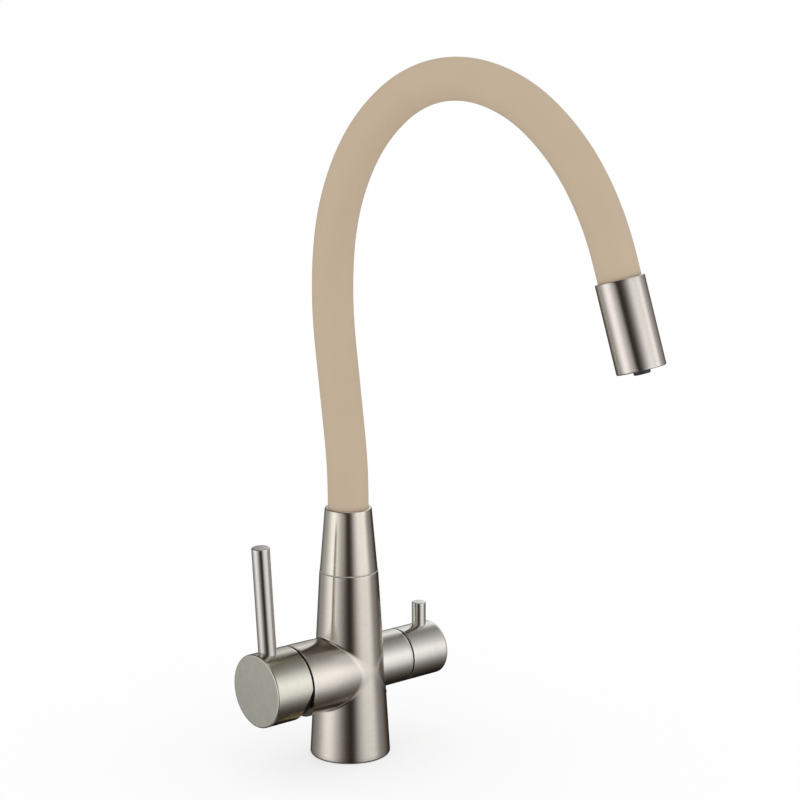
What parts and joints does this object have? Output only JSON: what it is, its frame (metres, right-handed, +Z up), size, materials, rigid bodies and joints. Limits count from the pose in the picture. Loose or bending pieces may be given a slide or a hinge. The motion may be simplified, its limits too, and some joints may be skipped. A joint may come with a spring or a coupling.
{
  "type": "kitchen faucet",
  "caption": "Kitchen faucet with a mixer lever on one side, a filtered-water knob on the other, and a swivelling soft-hose spout that ends in a round outlet.",
  "frame": {"origin": "centre of the round base on the top of the worktop", "axes": "+Z up along the column; the mixer lies on the -X side and the filtered-water valve on the +X side; -Y is the front"},
  "size_m": [0.1446, 0.2282, 0.4825],
  "materials": {
    "brushed_nickel": "fine satin brushed nickel, warm grey",
    "silicone": "matte beige silicone",
    "brass": "turned, unplated",
    "stainless_steel": "plain bright",
    "ceramic": "lapped smooth",
    "black_rubber": "moulded, matte",
    "white_plastic": "moulded acetal",
    "dark_plastic": "moulded, dark grey",
    "water_tube": "extruded, milky"
  },
  "bodies": {
    "column": {"faucet_body": "brushed_nickel", "base_gasket": "black_rubber", "mounting_shank": "brass", "rubber_washer": "black_rubber", "steel_washer": "stainless_steel", "shank_nut": "brass", "cartridge_seal": "black_rubber", "cartridge_housing": "white_plastic", "fixed_disc": "ceramic", "mixer_nut": "dark_plastic", "filter_seal": "black_rubber", "filter_fixed_disc": "ceramic", "filter_bonnet": "brass", "swivel_nipple": "brass", "swivel_seals": "black_rubber", "glide_rings": "white_plastic"},
    "mixer_turret": {"mixer_turret": "white_plastic", "pivot_pin": "stainless_steel"},
    "mixer_handle": {"lever_stem": "brass", "mixer_cap": "brushed_nickel", "mixer_lever": "brushed_nickel", "mixer_grub_screw": "stainless_steel", "mixer_plug": "dark_plastic"},
    "mixing_disc": {"moving_disc": "ceramic", "disc_carrier": "white_plastic"},
    "filter_handle": {"filter_moving_disc": "ceramic", "filter_spindle": "brass", "spindle_seals": "black_rubber", "filter_clip": "stainless_steel", "filter_knob": "brushed_nickel", "filter_pin": "brushed_nickel", "filter_grub_screw": "stainless_steel"},
    "spout": {"spout_fitting": "brass", "spout_collar": "brushed_nickel", "hose_sleeve": "silicone", "mixed_water_tube": "water_tube", "filtered_water_tube": "water_tube"},
    "outlet": {"outlet_shell": "brushed_nickel", "outlet_adapter": "dark_plastic", "filtered_nozzle": "dark_plastic", "aerator_seal": "black_rubber", "aerator_housing": "dark_plastic", "aerator_mesh": "stainless_steel"}
  },
  "joints": [
    {"name": "spout_swivel", "type": "hinge", "parent": "column", "child": "spout", "pos_m": [0, 0, 0.125], "axis": [0, 0, 1], "continuous": true},
    {"name": "outlet_bend", "type": "hinge", "parent": "spout", "child": "outlet", "pos_m": [0.02294, -0.07504, 0.41811], "axis": [0.9563, 0.2924, 0], "range_deg": [-20, 20], "deforming": ["hose_sleeve", "mixed_water_tube", "filtered_water_tube"]},
    {"name": "mixer_temperature", "type": "hinge", "parent": "column", "child": "mixer_turret", "pos_m": [-0.045, 0, 0.0546], "axis": [1, 0, 0], "range_deg": [-45, 45]},
    {"name": "mixer_flow", "type": "hinge", "parent": "mixer_turret", "child": "mixer_handle", "pos_m": [-0.045, 0, 0.0546], "axis": [0, -1, 0], "range_deg": [0, 15]},
    {"name": "mixing_disc_slide", "type": "slide", "parent": "mixer_turret", "child": "mixing_disc", "axis": [0, 0, 1], "range_m": [0, 0.0046]},
    {"name": "filter_turn", "type": "hinge", "parent": "column", "child": "filter_handle", "pos_m": [0, 0, 0.0546], "axis": [1, 0, 0], "range_deg": [0, 90]}
  ],
  "couplings": [
    {"joint": "mixing_disc_slide", "follows": "mixer_flow", "m_per_rad": 0.01745}
  ]
}
